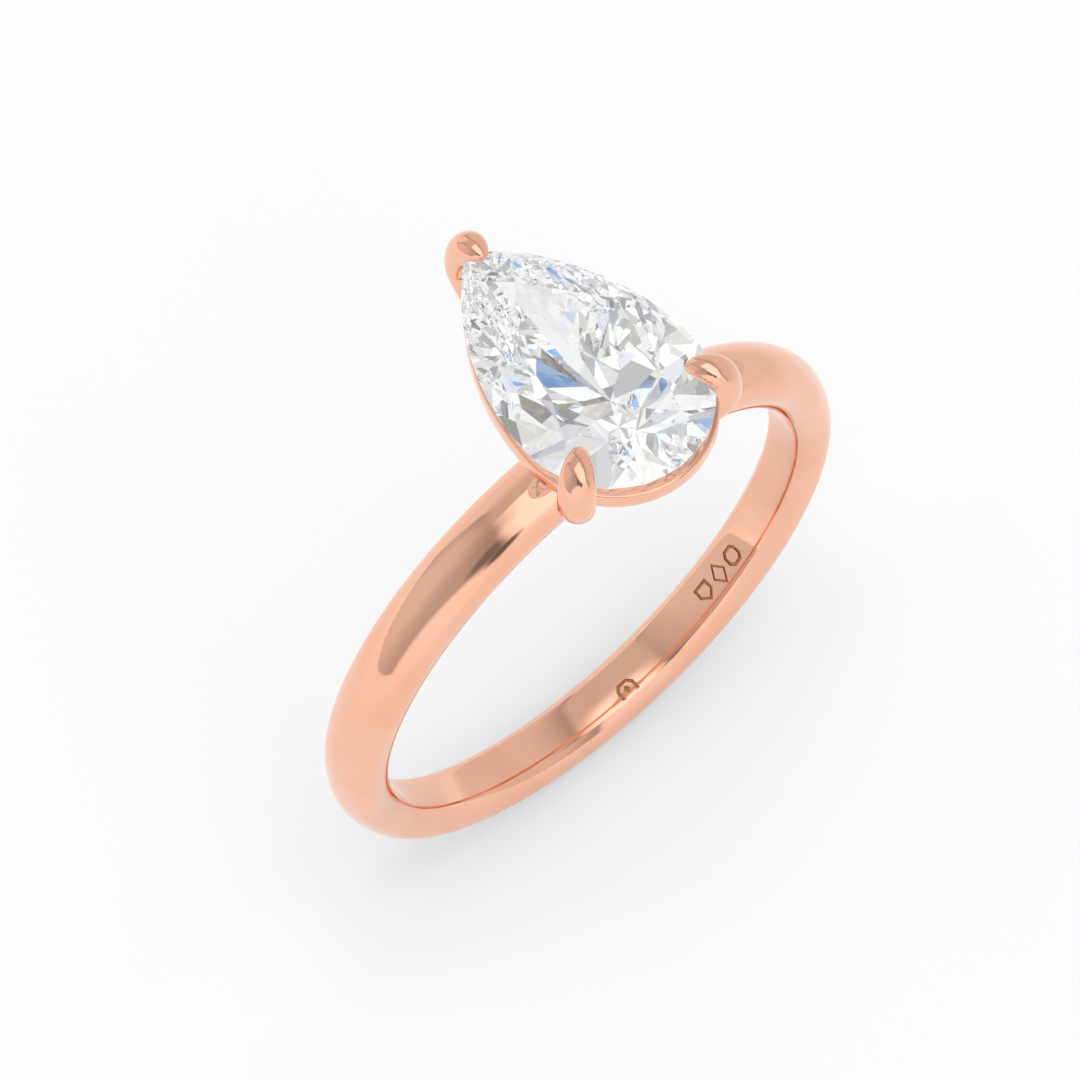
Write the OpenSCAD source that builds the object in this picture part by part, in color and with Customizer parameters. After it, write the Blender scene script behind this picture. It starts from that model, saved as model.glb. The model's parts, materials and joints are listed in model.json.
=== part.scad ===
// Pear solitaire ring: a court-shaped band, a three-claw basket head and a pear brilliant.
// Frame: the origin is the centre of the finger hole, Y is the finger's axis with +Y towards the
// point of the pear, and Z is up through the stone. All lengths are in millimetres.

/* [Band] */
// Radius of the finger hole
finger_r = 8.25; // [7:0.05:11]
// Thickness of the band at the bottom
band_low_t = 1.35; // [1.2:0.05:2.2]
// Thickness of the band under the head
band_high_t = 1.87; // [1.5:0.05:2.6]
// Width of the band
band_w = 2.2; // [1.8:0.1:3.4]
// Height of the band's widest line above its inner surface
band_belly = 0.9; // [0.5:0.05:1]
// Width of the flat land inside the band
land_w = 1.18; // [0.8:0.02:1.6]

/* [Stone] */
// Width of the pear across its round end
stone_w = 5.94; // [4:0.02:7]
// Length from the widest line to the point of the pear
stone_nose = 6.2; // [4:0.05:8]
// Distance of the widest line from the middle of the band
stone_back = 1.02; // [0.5:0.01:1.5]
// Height of the middle of the girdle above the finger hole's centre
girdle_z = 14.12; // [13:0.01:16]
// Thickness of the girdle
girdle_t = 0.12; // [0.06:0.01:0.3]
// Height of the crown above the girdle
crown_h = 0.9; // [0.6:0.05:1.3]
// Depth of the pavilion below the girdle
pavilion_h = 2.55; // [2:0.05:2.8]
// Width of the table as a share of the stone's width
table_share = 0.58; // [0.5:0.01:0.66]

/* [Head] */
// Thickness of a claw from its outside to its inside at the girdle
claw_t = 0.94; // [0.7:0.02:1.1]
// Width of a claw across its outside
claw_w = 1.1; // [0.8:0.02:1.3]
// How far the two side claws stand out beyond the girdle
claw_proud = 0.8; // [0.5:0.05:1]
// How far the claw at the pear's point stands out beyond the girdle
tip_proud = 0.65; // [0.5:0.05:1]
// How much lower the claw at the pear's point starts to bend inwards
tip_drop = 0.33; // [0:0.01:0.5]
// How far a claw's point reaches over the crown
claw_reach = 0.84; // [0.5:0.02:1]
// How far the gallery rail is wider than the girdle, on each side
rail_proud = 0.04; // [0:0.01:0.2]
// How far the gallery rail sits towards the round end
rail_back = 0.12; // [0:0.02:0.2]
// Height of the gallery rail
rail_h = 0.58; // [0.4:0.02:0.8]
// Wall of the gallery rail and the lower rail
rail_t = 0.62; // [0.5:0.02:0.8]
// Radius of the peg under the head
peg_r = 0.6; // [0.4:0.05:0.8]

/* [Hidden] */

$fn = 96;
gold = "#EFB294";
far = 40; // larger than any piece, for half spaces
spare = 1; // how far the band's blank reaches beyond what is cut away

// Band: an eccentric revolve, so that it thickens towards the head.
band_mid_t = (band_low_t + band_high_t) / 2;
band_lift = (band_high_t - band_low_t) / 2;
band_outer_r = finger_r + band_mid_t;
band_top_z = finger_r + band_high_t;
blank_r = finger_r - spare;
belly_r = finger_r + band_belly;
crown_r = (band_w ^ 2 / 4 + (band_mid_t - band_belly) ^ 2) / (2 * (band_mid_t - band_belly));
crown_mid_r = band_outer_r - crown_r;
flank_steps = 12;
flank_start = asin(land_w / band_w); // where the oval flank leaves the land
flank_h = band_belly / cos(flank_start);

// Pear outline: a semicircle at the back and two equal arcs that meet at the point.
back_r = stone_w / 2;
wing_r = (back_r ^ 2 + stone_nose ^ 2) / (2 * back_r);
wing_offset = wing_r - back_r;
wing_turn = asin(stone_nose / wing_r);
nose_y = stone_nose - stone_back;
back_step = 22.5; // turn between neighbouring girdle stations round the back

// Stone levels
girdle_low = girdle_z - girdle_t / 2;
girdle_high = girdle_z + girdle_t / 2;
main_ease = 0.03; // the mains stop this far short of the girdle, and the halves run all round it
main_low = girdle_low + main_ease;
main_high = girdle_high - main_ease;
nose_blunt = 0.05; // how much is taken off the pear's sharp point
table_z = girdle_high + crown_h;
culet_z = girdle_low - pavilion_h;
culet = [0, -stone_back, culet_z];
table_mid_y = 0.1;
star_share = 0.55; // height of a star facet's foot as a share of the crown
half_share = 0.78; // how far the lower halves run towards the culet
inside = [0, -stone_back, girdle_z];

// Head levels
rail_high = girdle_low - 0.28;
rail_low = rail_high - rail_h;
lower_rail_z = girdle_z - 2.77;
lower_rail_h = 0.6;
lower_rail_in = 1.3; // how far the lower rail's outside lies within the girdle's outline
base_low = band_top_z - 0.7;
base_waist = band_top_z + 0.25;
base_lip = band_top_z + 0.7;
base_high = band_top_z + 0.85;
base_foot_r = 1;
base_lip_r = 1.15;
base_top_r = 0.85;
peg_depth = 1.1;

// Claws: side claws stand 45 degrees off the band, the third at the pear's point.
tip_turn = 90;
left_turn = -135;
right_turn = -45;
side_reach = (stone_back + sqrt(2 * back_r ^ 2 - stone_back ^ 2)) / sqrt(2);
claw_sides = 20;
stem_steps = 12;
hook_steps = 8;
claw_foot = [0.7, band_top_z + 0.15];
claw_bow_z = girdle_z - 2.97; // the stem's two bends and its upright top
claw_knee_z = girdle_z - 1.73;
claw_hold_z = girdle_z - 0.53;
claw_rise_z = girdle_z + 0.43; // the hook's rise, its top and its point
claw_crest_z = girdle_z + 0.68;
claw_point_z = girdle_z + 0.55;
claw_bow_out = 1.1;
claw_bow_lean = 0.3; // how far the lower bend follows the claw outwards
claw_knee_in = 0.08;
claw_crest_in = 0.5;
claw_fullness = 2.5; // how long the hook stays thick before it tapers to its point
foot_share = 0.8; // thickness of the foot as a share of the claw's
point_share = 0.06; // and of the point

// ---- shared outlines and functions ----

// The pear outline in plan, grown outwards by d
module pear(d = 0) {
    translate([0, -stone_back]) {
        circle(r = back_r + d);
        intersection() {
            translate([-wing_offset, 0]) circle(r = wing_r + d, $fn = 240);
            translate([wing_offset, 0]) circle(r = wing_r + d, $fn = 240);
            translate([-far / 2, 0]) square([far, far]);
        }
    }
}

// Sixteen girdle stations, clockwise from the point: even ones are mains and odd ones are halves
function wing_point(a) = [wing_r * cos(a) - wing_offset, wing_r * sin(a) - stone_back];
function back_point(a) = [back_r * cos(a), back_r * sin(a) - stone_back];
function mirrored(p) = [-p.x, p.y];
function right_station(k) = k < 4 ? wing_point(wing_turn * (1 - k / 4)) : back_point(-back_step * (k - 4));
function station(k) = k <= 8 ? right_station(k) : mirrored(right_station(16 - k));
function right_normal(k) = k == 0 ? [0, 1]
    : k < 4 ? [cos(wing_turn * (1 - k / 4)), sin(wing_turn * (1 - k / 4))]
    : [cos(back_step * (k - 4)), -sin(back_step * (k - 4))];
function station_normal(k) = k <= 8 ? right_normal(k) : mirrored(right_normal(16 - k));

function at_height(p, z) = [p.x, p.y, z];
function along(p, k) = p + [station_normal(k).y, -station_normal(k).x];
function low_point(k) = at_height(station(k % 16), girdle_low);
function high_point(k) = at_height(station(k % 16), girdle_high);
function table_point(k) = let (p = station(k % 16))
    [table_share * p.x, table_mid_y + table_share * (p.y - table_mid_y), table_z];

// Where the tangents of two neighbouring mains cross in plan
function tangent_cross(k) = let (
    a = station(k % 16), n = station_normal(k % 16),
    b = station((k + 2) % 16), m = station_normal((k + 2) % 16),
    d = n.x * m.y - n.y * m.x)
    [((a * n) * m.y - (b * m) * n.y) / d, ((b * m) * n.x - (a * n) * m.x) / d];

// Where a lower half's edge meets the two mains beside it
function low_ridge(k) = let (q = at_height(tangent_cross(k), girdle_low)) q + half_share * (culet - q);

// Where a star facet's foot meets the two crown mains beside it
function crown_normal(k) = cross(
    at_height(along(station(k % 16), k % 16), girdle_high) - high_point(k),
    table_point(k) - high_point(k));
function high_ridge(k) = let (
    q = at_height(tangent_cross(k), girdle_high),
    d = cross(crown_normal(k), crown_normal(k + 2)))
    q + d * (star_share * crown_h / d.z);

// A point on a cubic curve through four control points
function bezier(c, t) = (1 - t) ^ 3 * c[0] + 3 * t * (1 - t) ^ 2 * c[1]
    + 3 * t ^ 2 * (1 - t) * c[2] + t ^ 3 * c[3];

// Keeps what lies inside the plane through three points
module facet(a, b, c) {
    n = cross(b - a, c - a);
    u = n / norm(n);
    out = u * (a - inside) > 0 ? u : -u;
    translate(a)
        rotate([0, acos(out.z), atan2(out.y, out.x)])
            translate([-far / 2, -far / 2, -far])
                cube(far);
}

// ---- solids that more than one piece needs ----

// The rounded outside of the band: a round wire, set off centre so that it thickens upwards
module crown_ring() {
    translate([0, 0, band_lift])
        rotate([90, 0, 0])
            rotate_extrude($fn = 180) {
                translate([crown_mid_r, 0]) circle(r = crown_r);
                translate([blank_r, -crown_r]) square([crown_mid_r - blank_r, 2 * crown_r]);
            }
}

// The court inside of the band: an oval flank that the flat land cuts off
module flank_ring() {
    flank = [for (i = [0 : flank_steps]) let (a = flank_start + (90 - flank_start) * i / flank_steps)
        [belly_r - flank_h * cos(a), band_w / 2 * sin(a)]];
    rotate([90, 0, 0])
        rotate_extrude($fn = 180)
            polygon(concat(
                [[blank_r, land_w / 2]],
                flank,
                [[band_outer_r + spare, band_w / 2], [band_outer_r + spare, -band_w / 2]],
                [for (i = [flank_steps : -1 : 0]) [flank[i].x, -flank[i].y]],
                [[blank_r, -land_w / 2]]
            ));
}

module band_blank() {
    intersection() {
        crown_ring();
        flank_ring();
    }
}

module base_blank() {
    rotate_extrude()
        polygon([
            [0, base_low],
            [base_foot_r, base_low],
            [base_foot_r, base_waist],
            [base_lip_r, base_lip],
            [base_top_r, base_high],
            [0, base_high]
        ]);
}

// The whole cut stone: the pear prism, cut back by the plane of every facet
module stone_solid() {
    intersection() {
        translate([0, 0, culet_z]) linear_extrude(table_z - culet_z) stone_outline();
        intersection_for(k = [0 : 2 : 14]) pavilion_facets(k);
        intersection_for(k = [0 : 2 : 14]) crown_facets(k);
    }
}

// The girdle in plan: the pear with its point blunted a little
module stone_outline() {
    intersection() {
        pear();
        translate([-far / 2, nose_y - nose_blunt - far]) square(far);
    }
}

// A pavilion main and the two lower halves between it and the next main
module pavilion_facets(k) {
    intersection() {
        facet(culet, at_height(station(k), main_low), at_height(along(station(k), k), main_low));
        facet(low_ridge(k), low_point(k), low_point(k + 1));
        facet(low_ridge(k), low_point(k + 1), low_point(k + 2));
    }
}

// A crown main, the star beside it and the two upper halves below that star
module crown_facets(k) {
    intersection() {
        facet(table_point(k), at_height(station(k), main_high), at_height(along(station(k), k), main_high));
        facet(high_ridge(k), table_point(k), table_point(k + 2));
        facet(high_ridge(k), high_point(k), high_point(k + 1));
        facet(high_ridge(k), high_point(k + 1), high_point(k + 2));
    }
}

// One claw in its own plane: the stem sweeps up from the base and the hook bends over the crown
module claw_solid(reach, proud, drop) {
    mid = reach + proud - claw_t / 2;
    bow = claw_bow_lean * mid + claw_bow_out;
    hold = [mid, claw_hold_z - drop];
    stem = [claw_foot, [bow, claw_bow_z], [mid - claw_knee_in, claw_knee_z - drop], hold];
    hook = [
        hold,
        [mid, claw_rise_z],
        [mid - claw_crest_in, claw_crest_z],
        [reach - claw_reach, claw_point_z]
    ];
    line = [
        for (i = [0 : stem_steps]) bezier(stem, i / stem_steps),
        for (i = [1 : hook_steps]) bezier(hook, i / hook_steps)
    ];
    last = len(line) - 1;
    points = [
        for (i = [0 : last])
            let (
                along_line = line[min(i + 1, last)] - line[max(i - 1, 0)],
                side = [along_line.y, -along_line.x] / norm(along_line),
                bent = max(0, i - stem_steps) / hook_steps,
                taper = max(point_share, sqrt(1 - bent ^ claw_fullness)),
                slim = i < stem_steps ? foot_share + (1 - foot_share) * i / stem_steps : 1
            )
            for (j = [0 : claw_sides - 1])
                let (
                    a = 360 * j / claw_sides,
                    p = line[i] + side * (claw_t / 2 * slim * taper * cos(a))
                )
                [p.x, claw_w / 2 * slim * taper * sin(a), p.y]
    ];
    sides = [
        for (i = [0 : last - 1], j = [0 : claw_sides - 1])
            let (k = (j + 1) % claw_sides, above = i + 1)
            [i * claw_sides + j, above * claw_sides + j, above * claw_sides + k, i * claw_sides + k]
    ];
    foot = [for (j = [0 : claw_sides - 1]) j];
    point = [for (j = [claw_sides - 1 : -1 : 0]) last * claw_sides + j];
    polyhedron(points = points, faces = concat(sides, [foot, point]), convexity = 6);
}

module placed_claw(turn, reach, proud, drop = 0) {
    rotate([0, 0, turn]) claw_solid(reach, proud, drop);
}

module all_claws() {
    placed_claw(tip_turn, nose_y, tip_proud, tip_drop);
    placed_claw(left_turn, side_reach, claw_proud);
    placed_claw(right_turn, side_reach, claw_proud);
}

// A pear-shaped wire whose outside is the girdle's outline grown by d
module pear_wire(d, low, high) {
    translate([0, 0, low])
        linear_extrude(high - low)
            difference() {
                pear(d);
                pear(d - rail_t);
            }
}

// A claw as it is filed to fit: seated on the stone and soldered to the base
module fitted_claw(turn, reach, proud, drop = 0) {
    color(gold)
        difference() {
            placed_claw(turn, reach, proud, drop);
            stone_solid();
            base_blank();
            band_blank();
        }
}

// ---- the pieces ----

module shank() {
    color(gold)
        difference() {
            band_blank();
            rotate([90, 0, 0]) cylinder(r = finger_r, h = far, center = true);
            translate([0, 0, band_top_z - peg_depth]) cylinder(r = peg_r, h = far);
        }
}

module head_base() {
    color(gold)
        union() {
            difference() {
                base_blank();
                band_blank();
            }
            translate([0, 0, band_top_z - peg_depth])
                cylinder(r = peg_r, h = peg_depth + base_high - band_top_z);
        }
}

module lower_rail() {
    color(gold)
        difference() {
            pear_wire(-lower_rail_in, lower_rail_z, lower_rail_z + lower_rail_h);
            all_claws();
        }
}

module gallery_rail() {
    color(gold)
        difference() {
            translate([0, -rail_back, 0]) pear_wire(rail_proud, rail_low, rail_high);
            stone_solid();
            all_claws();
        }
}

module claw_tip() {
    fitted_claw(tip_turn, nose_y, tip_proud, tip_drop);
}

module claw_left() {
    fitted_claw(left_turn, side_reach, claw_proud);
}

module claw_right() {
    fitted_claw(right_turn, side_reach, claw_proud);
}

module diamond() {
    color("#EEF4FA") stone_solid();
}

shank();
head_base();
lower_rail();
gallery_rail();
claw_tip();
claw_left();
claw_right();
diamond();
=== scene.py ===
"""Rose gold pear solitaire, every visible piece a fine mesh made here.

Lengths are in millimetres inside the shape functions and become metres when a mesh is made.
"""

import json
from math import acos, asin, cos, pi, radians, sin, sqrt, tan

import bmesh
import bpy
from mathutils import Matrix, Vector


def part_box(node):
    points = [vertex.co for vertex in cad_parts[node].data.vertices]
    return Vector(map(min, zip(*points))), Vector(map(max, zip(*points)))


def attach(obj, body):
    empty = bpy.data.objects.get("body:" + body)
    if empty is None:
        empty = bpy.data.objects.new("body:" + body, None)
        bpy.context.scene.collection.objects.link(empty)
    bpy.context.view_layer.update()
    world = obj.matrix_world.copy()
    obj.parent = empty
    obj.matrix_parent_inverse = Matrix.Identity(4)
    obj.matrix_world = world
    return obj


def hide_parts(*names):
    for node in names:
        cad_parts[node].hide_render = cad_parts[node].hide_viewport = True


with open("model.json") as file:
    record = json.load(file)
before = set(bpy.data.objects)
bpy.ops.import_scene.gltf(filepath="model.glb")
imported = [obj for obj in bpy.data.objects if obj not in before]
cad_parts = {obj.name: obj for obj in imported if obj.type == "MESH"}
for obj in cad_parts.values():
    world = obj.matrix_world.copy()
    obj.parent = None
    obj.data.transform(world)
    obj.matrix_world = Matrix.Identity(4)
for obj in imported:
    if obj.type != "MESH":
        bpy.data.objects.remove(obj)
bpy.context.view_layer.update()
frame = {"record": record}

MM = 0.001


# ---- sizes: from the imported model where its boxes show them, and else the CAD's own values again ----

def box_mm(node):
    low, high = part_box(node)
    return Vector(low) / MM, Vector(high) / MM


bore = frame["record"]["mounts"][0]["dims"]
bore_r = bore["r_mm"]
land_half = bore["length_mm"] / 2

shank_low, shank_high = box_mm("shank")
band_low_t = -shank_low.z - bore_r
band_high_t = shank_high.z - bore_r
band_half_w = shank_high.y
band_top_z = shank_high.z
belly_share = 0.56                 # height of the band's widest line as a share of its mean thickness
belly_low, belly_rise = 0.94, 0.12  # that height follows the thickness a little from bottom to top
low_width_share = 0.95             # the band is a little narrower at the bottom than under the head
crown_power = 1.1                  # 1 would make the outside of the band a plain ellipse
dome = 0.09                        # the land swells very slightly toward the finger
ease_in, ease_out = 0.17, 0.125    # reach of the rounding between land and flank, in mm and in radians

stone_low, stone_high = box_mm("diamond")
girdle_t = 0.12
crown_h = 0.9
nose_blunt = 0.05
back_r = stone_high.x
stone_back = -(stone_low.y + back_r)
nose_y = stone_high.y + nose_blunt
stone_nose = nose_y + stone_back
table_z = stone_high.z
girdle_high = table_z - crown_h
girdle_low = girdle_high - girdle_t
girdle_z = (girdle_high + girdle_low) / 2
culet_z = stone_low.z
table_share = 0.58
table_mid_y = 0.1
star_share = 0.55      # height of a star facet's foot as a share of the crown
half_share = 0.78      # how far the lower halves run toward the culet
main_ease = 0.03       # the mains stop this far short of the girdle
stations = 16          # mains and halves alternate round the girdle
back_step = 22.5       # degrees between neighbouring stations round the back
seat_gap = 0.012       # air between the stone and the metal that holds it

wing_r = (back_r ** 2 + stone_nose ** 2) / (2 * back_r)
wing_offset = wing_r - back_r
wing_turn = asin(stone_nose / wing_r)

rail_low, rail_high = box_mm("gallery_rail")
tie_low, tie_high = box_mm("lower_rail")
rail_t = 0.62
rail_ease, tie_ease = 0.07, 0.24    # rounding of the edges of the gallery rail and of the lower rail
base_low, base_high = box_mm("head_base")
collar_foot_r, collar_waist_r, collar_neck_r = 0.97, 1.0, 1.04
collar_foot_z = base_low.z + 0.05
collar_waist_z, collar_neck_z, collar_lip_z = band_top_z + 0.2, band_top_z + 0.4, band_top_z + 0.66
collar_bead = 0.12                 # radius of the collar's rounded lip

claw_t = 0.94
claw_w = 1.1
claw_reach = 0.84
claw_proud = 0.8
tip_proud = 0.65
tip_drop = 0.33        # the claw at the pear's point starts to bend inwards this much lower
foot_share = 0.8
claw_foot = Vector((0.7, band_top_z + 0.15))   # the stem's foot and its two bends
claw_bow_z = girdle_z - 2.97
claw_knee_z = girdle_z - 1.73
claw_bow_out, claw_bow_lean = 1.1, 0.3
claw_knee_in = 0.08
claw_hold_z = girdle_z - 0.53                  # the stem's top, the hook's rise, its crest and its point
claw_rise_z = girdle_z + 0.43
claw_crest_z = girdle_z + 0.68
claw_point_z = girdle_z + 0.55
claw_crest_in = 0.5
claw_fullness = 2.5                            # how long the hook stays thick before it tapers to its point
side_reach = (stone_back + sqrt(2 * back_r ** 2 - stone_back ** 2)) / sqrt(2)


# ---- mesh helpers ----

def make_object(name, bm, material, smooth_angle=None):
    """A bmesh in millimetres becomes an object in metres; edges sharper than smooth_angle stay crisp."""
    bmesh.ops.scale(bm, vec=(MM, MM, MM), verts=bm.verts)
    bmesh.ops.recalc_face_normals(bm, faces=bm.faces)
    mesh = bpy.data.meshes.new(name)
    bm.to_mesh(mesh)
    bm.free()
    for polygon in mesh.polygons:
        polygon.use_smooth = smooth_angle is not None
    if smooth_angle is not None:
        mesh.set_sharp_from_angle(angle=smooth_angle)
    obj = bpy.data.objects.new(name, mesh)
    bpy.context.scene.collection.objects.link(obj)
    if material:
        mesh.materials.append(material)
    return obj


def grid(rows, closed_rows=False):
    """A bmesh from rows of points, each row a closed loop; closed_rows joins the last row to the first."""
    bm = bmesh.new()
    made = [[bm.verts.new(p) for p in row] for row in rows]
    count = len(made[0])
    pairs = list(zip(made, made[1:]))
    if closed_rows:
        pairs.append((made[-1], made[0]))
    for a, b in pairs:
        for j in range(count):
            k = (j + 1) % count
            bm.faces.new((a[j], a[k], b[k], b[j]))
    return bm, made


def cap(bm, row, point):
    """Closes one end of a swept tube with a fan of triangles."""
    tip = bm.verts.new(point)
    for j, vert in enumerate(row):
        bm.faces.new((vert, row[(j + 1) % len(row)], tip))


def cut(obj, cutters, smooth_angle):
    """Takes the cutters away from obj and applies the result."""
    for cutter in cutters:
        modifier = obj.modifiers.new("cut", "BOOLEAN")
        modifier.operation = "DIFFERENCE"
        modifier.solver = "EXACT"
        modifier.material_mode = "TRANSFER"
        modifier.object = cutter
    graph = bpy.context.evaluated_depsgraph_get()
    graph.update()
    mesh = bpy.data.meshes.new_from_object(obj.evaluated_get(graph))
    obj.modifiers.clear()
    obj.data = mesh
    mesh.set_sharp_from_angle(angle=smooth_angle)


def discard(*objects):
    for obj in objects:
        bpy.data.objects.remove(obj)


# ---- node helpers ----

class Graph:
    """Short calls for building a node tree."""

    def __init__(self, tree):
        self.tree = tree
        tree.nodes.clear()

    def add(self, kind, inputs=None, **settings):
        node = self.tree.nodes.new(kind)
        for key, value in settings.items():
            setattr(node, key, value)
        for key, value in (inputs or {}).items():
            if isinstance(value, bpy.types.NodeSocket):
                self.tree.links.new(value, node.inputs[key])
            else:
                node.inputs[key].default_value = value
        return node

    def math(self, operation, a, b=0.0, c=0.0, clamp=False):
        node = self.add("ShaderNodeMath", {0: a, 1: b, 2: c}, operation=operation, use_clamp=clamp)
        return node.outputs[0]

    def ramp(self, value, low, high, out_low=0.0, out_high=1.0):
        """A smooth step of value from low to high."""
        node = self.add(
            "ShaderNodeMapRange",
            {"Value": value, "From Min": low, "From Max": high, "To Min": out_low, "To Max": out_high},
            interpolation_type="SMOOTHSTEP",
        )
        return node.outputs[0]

    def blend(self, factor, a, b):
        node = self.add("ShaderNodeMix", {0: factor, 2: a, 3: b}, data_type="FLOAT")
        return node.outputs[0]

    def tint(self, factor, a, b):
        node = self.add("ShaderNodeMix", {0: factor, 6: a, 7: b}, data_type="RGBA")
        return node.outputs[2]


def new_material(name):
    material = bpy.data.materials.new(name)
    material.use_nodes = True
    return material, Graph(material.node_tree)


# ---- materials ----

GOLD = (0.94, 0.53, 0.378, 1)
GOLD_DEEP = (0.915, 0.492, 0.338, 1)
# The next two colours are painted shade inside the punched marks, darker than the gold; a grain mixes them at
# random.
ENGRAVED_PAINTED_SHADE = (0.42, 0.165, 0.07, 1)
ENGRAVED_PAINTED_SHADE_PALE = (0.6, 0.27, 0.13, 1)


def polished_gold(name, scratch_scale=2600):
    """Mirror-polished rose gold: faint polishing lines, wear in the gloss and a slight drift of colour."""
    material, g = new_material(name)
    place = g.add("ShaderNodeTexCoord").outputs["Object"]
    drift = g.add("ShaderNodeTexNoise", {"Vector": place, "Scale": 420, "Detail": 3, "Roughness": 0.5})
    colour = g.tint(g.ramp(drift.outputs[0], 0.35, 0.7), GOLD, GOLD_DEEP)
    wear = g.add(
        "ShaderNodeTexNoise",
        {"Vector": place, "Scale": scratch_scale, "Detail": 5, "Roughness": 0.65},
    )
    gloss = g.ramp(wear.outputs[0], 0.3, 0.75, 0.035, 0.075)
    squeezed = g.add("ShaderNodeMapping", {"Vector": place, "Scale": (1, 9, 1)})
    lines = g.add(
        "ShaderNodeTexNoise",
        {"Vector": squeezed.outputs[0], "Scale": scratch_scale * 1.6, "Detail": 4, "Roughness": 0.7},
    )
    bump = g.add("ShaderNodeBump", {"Height": lines.outputs[0], "Strength": 0.012, "Distance": 0.00002})
    shader = g.add(
        "ShaderNodeBsdfPrincipled",
        {"Base Color": colour, "Metallic": 1.0, "Roughness": gloss, "Normal": bump.outputs[0]},
    )
    g.add("ShaderNodeOutputMaterial", {"Surface": shader.outputs[0]})
    return material


def engraved_gold_painted_shade():
    """The floor and walls of a punched mark: duller than the polished metal round it, and darker by painted
    shade in the recess.
    """
    material, g = new_material("engraved_rose_gold_painted_shade")
    place = g.add("ShaderNodeTexCoord").outputs["Object"]
    grain = g.add("ShaderNodeTexNoise", {"Vector": place, "Scale": 9000, "Detail": 4, "Roughness": 0.6})
    # Both colours are painted shade of the recess, varied at random by the grain.
    colour = g.tint(g.ramp(grain.outputs[0], 0.3, 0.7), ENGRAVED_PAINTED_SHADE, ENGRAVED_PAINTED_SHADE_PALE)
    bump = g.add("ShaderNodeBump", {"Height": grain.outputs[0], "Strength": 0.3, "Distance": 0.00002})
    shader = g.add(
        "ShaderNodeBsdfPrincipled",
        {"Base Color": colour, "Metallic": 1.0, "Roughness": 0.35, "Normal": bump.outputs[0]},
    )
    g.add("ShaderNodeOutputMaterial", {"Surface": shader.outputs[0]})
    return material


def cut_diamond():
    """Clear diamond with a very faint, uneven cool tint."""
    material, g = new_material("cut_diamond")
    place = g.add("ShaderNodeTexCoord").outputs["Object"]
    cloud = g.add("ShaderNodeTexNoise", {"Vector": place, "Scale": 300, "Detail": 2, "Roughness": 0.5})
    colour = g.tint(g.ramp(cloud.outputs[0], 0.3, 0.7), (1, 1, 1, 1), (0.985, 0.992, 1, 1))
    shader = g.add(
        "ShaderNodeBsdfPrincipled",
        {"Base Color": colour, "Roughness": 0.0, "IOR": 2.417, "Transmission Weight": 1.0},
    )
    g.add("ShaderNodeOutputMaterial", {"Surface": shader.outputs[0]})
    return material


# ---- the stone ----

def mirrored(p):
    return Vector((-p.x, p.y))


def right_station(k):
    """Girdle station k of the right half, 0 at the point and 8 at the round end, with its outward normal."""
    if k == 0:
        return Vector((0, nose_y)), Vector((0, 1))
    if k < 4:
        turn = wing_turn * (1 - k / 4)
        normal = Vector((cos(turn), sin(turn)))
        return wing_r * normal + Vector((-wing_offset, -stone_back)), normal
    turn = -radians(back_step * (k - 4))
    normal = Vector((cos(turn), sin(turn)))
    return back_r * normal + Vector((0, -stone_back)), normal


def station(k):
    k %= stations
    if k <= stations / 2:
        return right_station(k)
    point, normal = right_station(stations - k)
    return mirrored(point), mirrored(normal)


def at_height(p, z):
    return Vector((p.x, p.y, z))


def tangent_cross(k):
    """Where the tangents of two neighbouring mains cross in plan."""
    a, n = station(k)
    b, m = station(k + 2)
    d = n.x * m.y - n.y * m.x
    return Vector(((a.dot(n) * m.y - b.dot(m) * n.y) / d, (b.dot(m) * n.x - a.dot(n) * m.x) / d))


def table_point(k):
    p, _ = station(k)
    return Vector((table_share * p.x, table_mid_y + table_share * (p.y - table_mid_y), table_z))


def facet_planes():
    """Every facet as three points: pavilion mains and halves, crown mains, stars and halves."""
    culet = Vector((0, -stone_back, culet_z))

    def tangent(k, z):
        p, n = station(k)
        return at_height(p + Vector((n.y, -n.x)), z)

    def crown_normal(k):
        foot = at_height(station(k)[0], girdle_high)
        return (tangent(k, girdle_high) - foot).cross(table_point(k) - foot)

    main_low, main_high = girdle_low + main_ease, girdle_high - main_ease
    planes = []
    for k in range(0, stations, 2):
        here, middle, there = (station(k + i)[0] for i in range(3))
        planes.append((culet, at_height(here, main_low), tangent(k, main_low)))
        corner = at_height(tangent_cross(k), girdle_low)
        low_ridge = corner + half_share * (culet - corner)
        planes.append((low_ridge, at_height(here, girdle_low), at_height(middle, girdle_low)))
        planes.append((low_ridge, at_height(middle, girdle_low), at_height(there, girdle_low)))
        planes.append((table_point(k), at_height(here, main_high), tangent(k, main_high)))
        across = crown_normal(k).cross(crown_normal(k + 2))
        high_ridge = at_height(tangent_cross(k), girdle_high) + across * (star_share * crown_h / across.z)
        planes.append((high_ridge, table_point(k), table_point(k + 2)))
        planes.append((high_ridge, at_height(here, girdle_high), at_height(middle, girdle_high)))
        planes.append((high_ridge, at_height(middle, girdle_high), at_height(there, girdle_high)))
    return planes


def pear_outline(grow, wing_steps=48, back_steps=72):
    """The pear in plan grown by grow, clockwise from the point."""
    r = wing_r + grow
    tip_turn = acos(wing_offset / r)
    wing = [tip_turn * (1 - i / wing_steps) for i in range(wing_steps)]
    right = [Vector((r * cos(a) - wing_offset, r * sin(a) - stone_back)) for a in wing]
    back = [
        Vector(((back_r + grow) * cos(a), -(back_r + grow) * sin(a) - stone_back))
        for a in (pi * i / back_steps for i in range(back_steps + 1))
    ]
    return right + back + [mirrored(p) for p in reversed(right[1:])]


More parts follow.
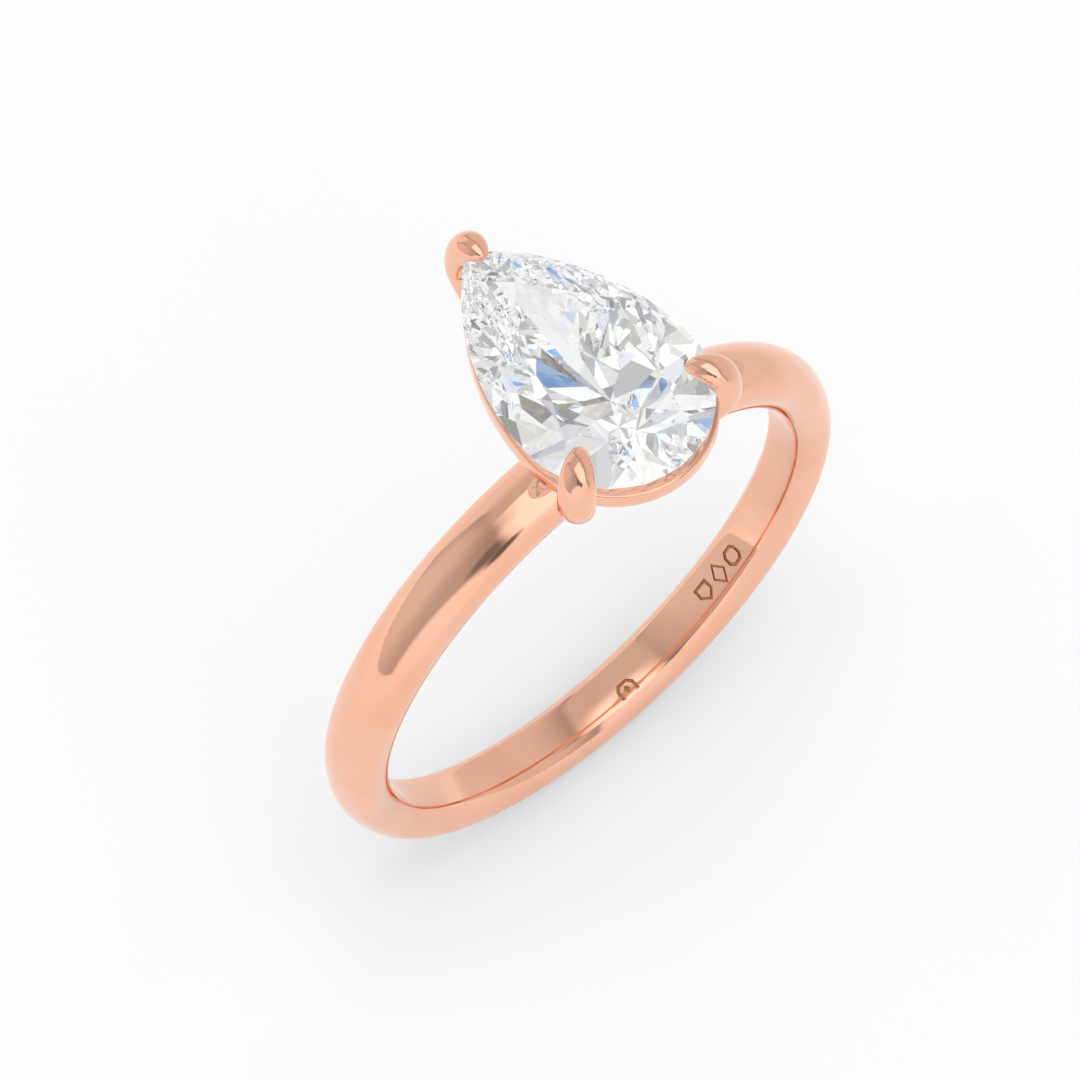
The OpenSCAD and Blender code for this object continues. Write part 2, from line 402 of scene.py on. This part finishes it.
def stone_bmesh(grow=0.0):
    """The stone as its pear prism cut by every facet plane, or a slightly larger copy to cut seats with."""
    outline = pear_outline(grow)
    low = [at_height(p, culet_z - grow) for p in outline]
    high = [at_height(p, table_z + grow) for p in outline]
    bm, rows = grid([low, high])
    bm.faces.new(rows[0])
    bm.faces.new(rows[1])
    inside = Vector((0, -stone_back, girdle_z))
    blunt = at_height(Vector((0, nose_y - nose_blunt + grow)), girdle_z)
    cuts = [(blunt, Vector((0, 1, 0)))]
    for a, b, c in facet_planes():
        normal = (b - a).cross(c - a).normalized()
        if normal.dot(a - inside) < 0:
            normal = -normal
        cuts.append((a + normal * grow, normal))
    for point, normal in cuts:
        parts = bm.verts[:] + bm.edges[:] + bm.faces[:]
        bmesh.ops.bisect_plane(bm, geom=parts, dist=1e-7, plane_co=point, plane_no=normal, clear_outer=True)
        bmesh.ops.holes_fill(bm, edges=[e for e in bm.edges if e.is_boundary], sides=0)
    return bm


# ---- the band ----

LAND_STEPS, EASE_STEPS, FLANK_STEPS, CROWN_STEPS = 6, 12, 14, 22


def band_section(share):
    """Half the band's section, land to crown, as (y, height over the bore).

    share is 0 at the bottom of the band and 1 under the head.
    """
    thick = band_low_t + (band_high_t - band_low_t) * share
    belly = belly_share * (band_low_t + band_high_t) / 2 * (belly_low + belly_rise * share)
    half = band_half_w * (low_width_share + (1 - low_width_share) * share)
    start = asin(land_half / half)
    drop = belly / cos(start)

    def flank(a):
        return Vector((half * sin(a), belly - drop * cos(a)))

    # A curve from a to b, with its control point c where their tangents meet, rounds land into flank.
    inner = land_half - ease_in
    after = start + ease_out
    a, b = Vector((inner, dome * inner ** 2)), flank(after)
    slope_a, slope_b = 2 * dome * inner, drop * tan(after) / half
    meet = (b.y - slope_b * b.x - a.y + slope_a * a.x) / (slope_a - slope_b)
    c = Vector((meet, a.y + slope_a * (meet - a.x)))
    points = [Vector((y, dome * y ** 2)) for y in (inner * i / LAND_STEPS for i in range(LAND_STEPS))]
    points += [
        (1 - t) ** 2 * a + 2 * t * (1 - t) * c + t * t * b
        for t in (i / EASE_STEPS for i in range(EASE_STEPS + 1))
    ]
    points += [flank(after + (pi / 2 - after) * i / FLANK_STEPS) for i in range(1, FLANK_STEPS + 1)]
    points += [
        Vector((half * cos(t) ** crown_power, belly + (thick - belly) * sin(t) ** crown_power))
        for t in (pi / 2 * i / CROWN_STEPS for i in range(1, CROWN_STEPS))
    ]
    points.append(Vector((0, thick)))
    return points


def shank_bmesh(steps=480):
    rows = []
    for i in range(steps):
        turn = 2 * pi * i / steps
        half = band_section((1 + sin(turn)) / 2)
        loop = half + [mirrored(p) for p in reversed(half[1:-1])]
        rows.append([Vector(((bore_r + p.y) * cos(turn), p.x, (bore_r + p.y) * sin(turn))) for p in loop])
    bm, _ = grid(rows, closed_rows=True)
    return bm


MARK_DEPTH = 0.05
MARK_STROKE = 0.13
MARK_LEAST = 0.02      # half width left inside the smallest outline
LOZENGE = [(0, 1), (0.72, 0), (0, -1), (-0.72, 0)]
CUT_SQUARE = [(0.85, 0.4), (0.85, -0.4), (0.45, -0.85), (-0.45, -0.85),
              (-0.85, -0.4), (-0.85, 0.4), (-0.45, 0.85), (0.45, 0.85)]
SHIELD = [(0.8, 0.85), (0.85, -0.2), (0, -1), (-0.85, -0.2), (-0.8, 0.85)]
# Plain punched marks inside the band: shape, polar angle in degrees, place across the band, size
MARKS = [
    (SHIELD, -50.3, -0.06, 0.37), (LOZENGE, -44.8, -0.06, 0.44), (CUT_SQUARE, -39.3, -0.06, 0.38),
    (CUT_SQUARE, -78.5, -0.47, 0.42), (LOZENGE, -78.5, -0.42, 0.15),
]


def mark_bmesh(shape, polar, across, size):
    """A punch: the outline of a shape, one stroke wide, wrapped on the inside of the band."""
    def loop(scale, r):
        turns = [radians(polar) + x * scale / bore_r for x, _ in shape]
        return [Vector((r * cos(t), across + y * scale, r * sin(t))) for t, (_, y) in zip(turns, shape)]

    low, high = bore_r - MARK_DEPTH, bore_r + MARK_DEPTH
    inner = max(size - MARK_STROKE, MARK_LEAST)
    rows = [loop(size, low), loop(size, high), loop(inner, high), loop(inner, low)]
    bm, _ = grid(rows, closed_rows=True)
    return bm


# ---- the head ----

def bezier(c, t):
    return (1 - t) ** 3 * c[0] + 3 * t * (1 - t) ** 2 * c[1] + 3 * t * t * (1 - t) * c[2] + t ** 3 * c[3]


def claw_bmesh(turn, reach, proud, drop, stem_steps=36, hook_steps=30, sides=48):
    """A round wire that rises from the base, passes the girdle and bends over the crown to a point."""
    mid = reach + proud - claw_t / 2
    stem = [
        claw_foot,
        Vector((claw_bow_lean * mid + claw_bow_out, claw_bow_z)),
        Vector((mid - claw_knee_in, claw_knee_z - drop)),
        Vector((mid, claw_hold_z - drop)),
    ]
    hook = [
        stem[3],
        Vector((mid, claw_rise_z)),
        Vector((mid - claw_crest_in, claw_crest_z)),
        Vector((reach - claw_reach, claw_point_z)),
    ]
    line = [(bezier(stem, i / stem_steps), foot_share + (1 - foot_share) * i / stem_steps)
            for i in range(stem_steps)]
    for i in range(hook_steps):
        t = sin(pi / 2 * i / hook_steps)
        line.append((bezier(hook, t), sqrt(1 - t ** claw_fullness)))
    end = bezier(hook, 1)
    rows = []
    for i, (point, size) in enumerate(line):
        ahead = line[i + 1][0] if i + 1 < len(line) else end
        along = (ahead - line[max(i - 1, 0)][0]).normalized()
        side = Vector((along.y, -along.x))
        row = []
        for j in range(sides):
            a = 2 * pi * j / sides
            p = point + side * (claw_t / 2 * size * cos(a))
            row.append(Vector((p.x, claw_w / 2 * size * sin(a), p.y)))
        rows.append(row)
    bm, made = grid(rows)
    cap(bm, made[0], Vector((claw_foot.x, 0, claw_foot.y)))
    cap(bm, made[-1], Vector((end.x, 0, end.y)))
    bmesh.ops.rotate(bm, verts=bm.verts, matrix=Matrix.Rotation(radians(turn), 3, "Z"))
    return bm


def pear_wire_bmesh(grow, low, high, wall, ease, steps=5):
    """A pear-shaped wire with rounded edges; its outside is the girdle's outline grown by grow."""
    corners = [
        (grow - ease, high - ease, 0), (grow - ease, low + ease, -90),
        (grow - wall + ease, low + ease, 180), (grow - wall + ease, high - ease, 90),
    ]
    profile = []
    for x, z, start in corners:
        for i in range(steps + 1):
            a = radians(start + 90 - 90 * i / steps)
            profile.append((x + ease * cos(a), z + ease * sin(a)))
    rows = [[at_height(p, z) for p in pear_outline(d)] for d, z in profile]
    bm, _ = grid(rows, closed_rows=True)
    return bm


def lathe_bmesh(profile, steps=96):
    """A solid of revolution about Z from (radius, height) pairs, closed by a fan at each end."""
    rows = [
        [Vector((r * cos(2 * pi * i / steps), r * sin(2 * pi * i / steps), z)) for i in range(steps)]
        for r, z in profile
    ]
    bm, made = grid(rows)
    cap(bm, made[0], Vector((0, 0, profile[0][1])))
    cap(bm, made[-1], Vector((0, 0, profile[-1][1])))
    return bm


# ---- making the pieces ----

def stand_in(obj, slot_name, *nodes):
    """Puts a piece in the frame in place of its nodes.

    No metal is seen through the stone and the head's metal is not seen in mirrors, so that the stone stays
    colourless and the top of the band stays clear.
    """
    if slot_name != "diamond":
        obj.visible_transmission = False
        obj.visible_glossy = "shank" in nodes
    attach(obj, "root")
    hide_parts(*nodes)


gold = polished_gold("polished_rose_gold")
crisp, smooth = radians(32), radians(50)    # edges sharper than this stay sharp, on the head and on the band

diamond = make_object("pear_brilliant", stone_bmesh(), cut_diamond())
stand_in(diamond, "diamond", "diamond")

seat_cutter = make_object("seat_cutter", stone_bmesh(seat_gap), None)
shank = make_object("court_band", shank_bmesh(), gold, smooth)
# The marks' darker colour is painted shade, carried onto the band's pockets by the cuts.
engraved_painted_shade = engraved_gold_painted_shade()
punches = [make_object(f"punch_{i}", mark_bmesh(*mark), engraved_painted_shade) for i, mark in enumerate(MARKS)]
cut(shank, punches, smooth)
discard(*punches)
stand_in(shank, "rose_gold", "shank")

claws = {
    "claw_tip": (90, nose_y, tip_proud, tip_drop),
    "claw_left": (-135, side_reach, claw_proud, 0),
    "claw_right": (-45, side_reach, claw_proud, 0),
}
for node, shape in claws.items():
    claw = make_object(f"{node}_wire", claw_bmesh(*shape), gold, crisp)
    cut(claw, [seat_cutter], crisp)
    stand_in(claw, "rose_gold", node)

rail_grow = rail_high.x - back_r
rail_back = -(rail_low.y + stone_back + back_r + rail_grow)    # the rail sits a little toward the round end
rail_bm = pear_wire_bmesh(rail_grow, rail_low.z, rail_high.z, rail_t, rail_ease)
bmesh.ops.translate(rail_bm, verts=rail_bm.verts, vec=(0, -rail_back, 0))
gallery = make_object("gallery_wire", rail_bm, gold, crisp)
cut(gallery, [seat_cutter], crisp)
stand_in(gallery, "rose_gold", "gallery_rail")

tie_grow = tie_high.x - back_r
tie_bm = pear_wire_bmesh(tie_grow, tie_low.z, tie_high.z, rail_t, tie_ease)
tie = make_object("tie_wire", tie_bm, gold, crisp)
stand_in(tie, "rose_gold", "lower_rail")

collar_r = base_high.x
collar_profile = [
    (collar_foot_r, collar_foot_z), (collar_waist_r, collar_waist_z), (collar_neck_r, collar_neck_z),
]
collar_profile += [
    (collar_r - collar_bead + collar_bead * cos(a), collar_lip_z + collar_bead * sin(a))
    for a in (radians(degrees) for degrees in range(-60, 91, 15))
]
collar = make_object("head_collar", lathe_bmesh(collar_profile), gold, crisp)
stand_in(collar, "rose_gold", "head_base")
discard(seat_cutter)


# ---- camera ----

CAMERA_AZIMUTH = radians(-40.9)
CAMERA_ELEVATION = radians(62.57)
CAMERA_DISTANCE = 0.14441      # in metres, like the shift to the right and up
CAMERA_RIGHT, CAMERA_UP = -0.001292, 0.001757
SENSOR = 36
LENS = 157.0


def add_camera():
    back = Vector((
        sin(CAMERA_AZIMUTH) * cos(CAMERA_ELEVATION),
        -cos(CAMERA_AZIMUTH) * cos(CAMERA_ELEVATION),
        sin(CAMERA_ELEVATION),
    ))
    right = Vector((cos(CAMERA_AZIMUTH), sin(CAMERA_AZIMUTH), 0))
    up = back.cross(right)
    data = bpy.data.cameras.new("camera")
    data.sensor_width = SENSOR
    data.lens = LENS
    data.clip_start = 0.001
    camera = bpy.data.objects.new("camera", data)
    bpy.context.scene.collection.objects.link(camera)
    turn = Matrix((right, up, back)).transposed().to_4x4()
    place = CAMERA_RIGHT * right + CAMERA_UP * up + CAMERA_DISTANCE * back
    camera.matrix_world = Matrix.Translation(place) @ turn
    bpy.context.scene.camera = camera


# ---- floor and light ----

FLOOR_GLOW = 0.457     # the floor is a lit white panel, so the shadows on it stay pale
FLOOR_SIZE = 900       # half its width


def pale_floor():
    material, g = new_material("pale_floor")
    place = g.add("ShaderNodeTexCoord").outputs["Object"]
    mottle = g.add("ShaderNodeTexNoise", {"Vector": place, "Scale": 60, "Detail": 2})
    colour = g.tint(mottle.outputs[0], (0.535, 0.535, 0.535, 1), (0.55, 0.55, 0.55, 1))
    x = g.add("ShaderNodeSeparateXYZ", {0: place}).outputs[0]
    # The panel is brighter away to -X and dimmer away to +X, which the two sides of the band mirror.
    left_glow = g.ramp(x, -0.09, -0.025, 0.07, 0.0)
    right_glow = g.ramp(x, 0.022, 0.08, FLOOR_GLOW, FLOOR_GLOW - 0.13)
    glow = g.math("ADD", left_glow, right_glow)
    shader = g.add(
        "ShaderNodeBsdfPrincipled",
        {
            "Base Color": colour, "Roughness": 1.0, "Specular IOR Level": 0.0,
            "Emission Color": (1, 1, 1, 1), "Emission Strength": glow,
        },
    )
    g.add("ShaderNodeOutputMaterial", {"Surface": shader.outputs[0]})
    return material


def add_floor():
    bm = bmesh.new()
    bmesh.ops.create_grid(bm, x_segments=8, y_segments=8, size=FLOOR_SIZE)
    bmesh.ops.translate(bm, verts=bm.verts, vec=(0, 0, shank_low.z))
    make_object("studio_floor", bm, pale_floor())


# What the stone bends its light from: patches of the room, each of one of these colours. The number is
# where a colour starts on a scale from 0 to 1, so the gap to the next one is its share of the patches.
FIRE_SCALE = 3.2
FIRE_SHIFT = (5.48, 2.84, 8.52)
FIRE = [
    (0.0, (0.09, 0.065, 0.045)),   # nearly black
    (0.06, (0.24, 0.19, 0.14)),    # brown
    (0.13, (0.33, 0.33, 0.34)),    # greys
    (0.24, (0.46, 0.47, 0.48)),
    (0.42, (0.6, 0.61, 0.62)),
    (0.6, (0.78, 0.78, 0.79)),
    (0.78, (1.15, 1.15, 1.15)),    # white
    (0.94, (0.14, 0.46, 1.08)),    # blue
    (0.985, (0.3, 0.3, 0.85)),     # violet
]
ZENITH = 4.0           # soft overhead light that falls on the floor only


def heading(azimuth, elevation):
    """Unit vector toward an azimuth (clockwise from +Y) and an elevation, both in degrees."""
    a, e = radians(azimuth), radians(elevation)
    return Vector((sin(a) * cos(e), cos(a) * cos(e), sin(e)))


def add_studio():
    """A room of soft light: a graded ceiling, grey side walls with dark borders, and paler ends."""
    world = bpy.data.worlds.new("studio")
    bpy.context.scene.world = world
    world.use_nodes = True
    g = Graph(world.node_tree)
    ray = g.add("ShaderNodeTexCoord").outputs["Generated"]
    x, y, z = g.add("ShaderNodeSeparateXYZ", {0: ray}).outputs
    across = g.math("MAXIMUM", g.math("ABSOLUTE", x), 1e-4)
    depth = g.math("ABSOLUTE", y)

    def patch(azimuth, elevation, inner, outer):
        """1 inside a round patch of sky, falling to 0 at its outer radius in degrees."""
        dot = g.add("ShaderNodeVectorMath", {0: ray, 1: heading(azimuth, elevation)}, operation="DOT_PRODUCT")
        return g.ramp(dot.outputs["Value"], cos(radians(outer)), cos(radians(inner)))

    # Walls: u runs along a side wall and v up it, to 1 at its top edge.
    front = g.ramp(y, -0.5, -0.1, 1.0, 0.0)
    side_top = g.math("MULTIPLY", across, g.math("MULTIPLY_ADD", front, -0.2, 2.28))
    u = g.math("DIVIDE", g.math("DIVIDE", depth, across), 3.6)
    v = g.math("DIVIDE", z, side_top)
    right_wall = g.ramp(g.math("MAXIMUM", u, v), 0.35, 1.0, 0.8, 0.45)
    left_wall = g.math("MULTIPLY", g.ramp(y, -0.35, 0.5, 0.56, 0.8), g.ramp(v, 0.3, 1.0, 1.0, 0.7))
    left_wall = g.math("MULTIPLY", left_wall, g.ramp(u, 0.4, 0.8, 1.0, 0.82))
    left_wall = g.blend(patch(-146, 41, 2, 14), left_wall, 0.22)
    left_wall = g.blend(patch(-142, -3, 26, 36), left_wall, 1.08)
    side = g.blend(g.ramp(x, -0.02, 0.02), left_wall, right_wall)
    back = g.ramp(z, 0.3, 0.75, 0.93, 0.68)
    ends = g.blend(g.ramp(y, -0.02, 0.02), 1.02, back)
    walls = g.blend(g.ramp(u, 0.9, 1.1), side, ends)

    # Ceiling: over is how far a ray points above the walls' top edge.
    over = g.math("SUBTRACT", z, g.math("MAXIMUM", side_top, g.math("MULTIPLY", y, -0.3)))
    rise = g.ramp(over, 0.05, g.math("MULTIPLY_ADD", front, -0.25, 0.6))
    ceiling = g.blend(rise, g.math("MULTIPLY_ADD", front, 0.22, 0.88), 1.46)
    ceiling = g.blend(g.ramp(g.math("MULTIPLY_ADD", y, -3.7, z), -0.2, 0.45), back, ceiling)
    light = g.blend(g.ramp(over, -0.11, 0.13), walls, ceiling)
    light = g.blend(patch(-161, 29, 3, 9), light, 0.18)

    # The overhead light falls on the floor, and no mirror or stone shows it.
    path = g.add("ShaderNodeLightPath").outputs
    seen = g.math("MAXIMUM", path["Is Glossy Ray"], path["Is Transmission Ray"])
    overhead = g.math("MULTIPLY", g.ramp(z, 0.96, 0.985), g.math("SUBTRACT", 1.0, seen))
    light = g.blend(overhead, light, ZENITH)
    shade = g.add("ShaderNodeCombineColor", {0: light, 1: light, 2: light}).outputs[0]

    # Rays bent by the stone see the patches instead, broken up into finer ones of varied tone and hue.
    shifted = g.add("ShaderNodeVectorMath", {0: ray, 1: FIRE_SHIFT}, operation="ADD").outputs[0]
    cells = g.add("ShaderNodeTexVoronoi", {"Vector": shifted, "Scale": FIRE_SCALE}, voronoi_dimensions="3D")
    pick = g.add("ShaderNodeSeparateColor", {0: cells.outputs["Color"]}).outputs[0]
    fire = g.add("ShaderNodeValToRGB", {0: pick})
    fire.color_ramp.interpolation = "CONSTANT"
    while len(fire.color_ramp.elements) < len(FIRE):
        fire.color_ramp.elements.new(0.5)
    for element, (start, colour) in zip(fire.color_ramp.elements, FIRE):
        element.position = start
        element.color = (*colour, 1)
    finer = {"Vector": shifted, "Scale": 3 * FIRE_SCALE}
    fine = g.add("ShaderNodeTexVoronoi", finer, voronoi_dimensions="3D")
    _, dim_pick, hue_pick = g.add("ShaderNodeSeparateColor", {0: fine.outputs["Color"]}).outputs
    dim = g.ramp(dim_pick, 0.1, 0.7, 0.58, 1.06)
    red = g.math("MULTIPLY", dim, g.ramp(hue_pick, 0.2, 0.8, 1.035, 0.965))
    blue = g.math("MULTIPLY", dim, g.ramp(hue_pick, 0.2, 0.8, 0.92, 1.07))
    mottle = g.add("ShaderNodeCombineColor", {0: red, 1: dim, 2: blue}).outputs[0]
    fire = g.add("ShaderNodeVectorMath", {0: fire.outputs[0], 1: mottle}, operation="MULTIPLY")
    shade = g.tint(path["Is Transmission Ray"], shade, fire.outputs[0])
    background = g.add("ShaderNodeBackground", {"Color": shade, "Strength": 1.0})
    g.add("ShaderNodeOutputWorld", {"Surface": background.outputs[0]})


BOUNCES = 48           # light stays inside the stone for long, above all at its point

add_camera()
add_floor()
add_studio()

scene = bpy.context.scene
scene.view_settings.view_transform = "Standard"
scene.cycles.max_bounces = BOUNCES
scene.cycles.glossy_bounces = BOUNCES
scene.cycles.transmission_bounces = BOUNCES
scene.cycles.caustics_reflective = False
scene.cycles.caustics_refractive = False
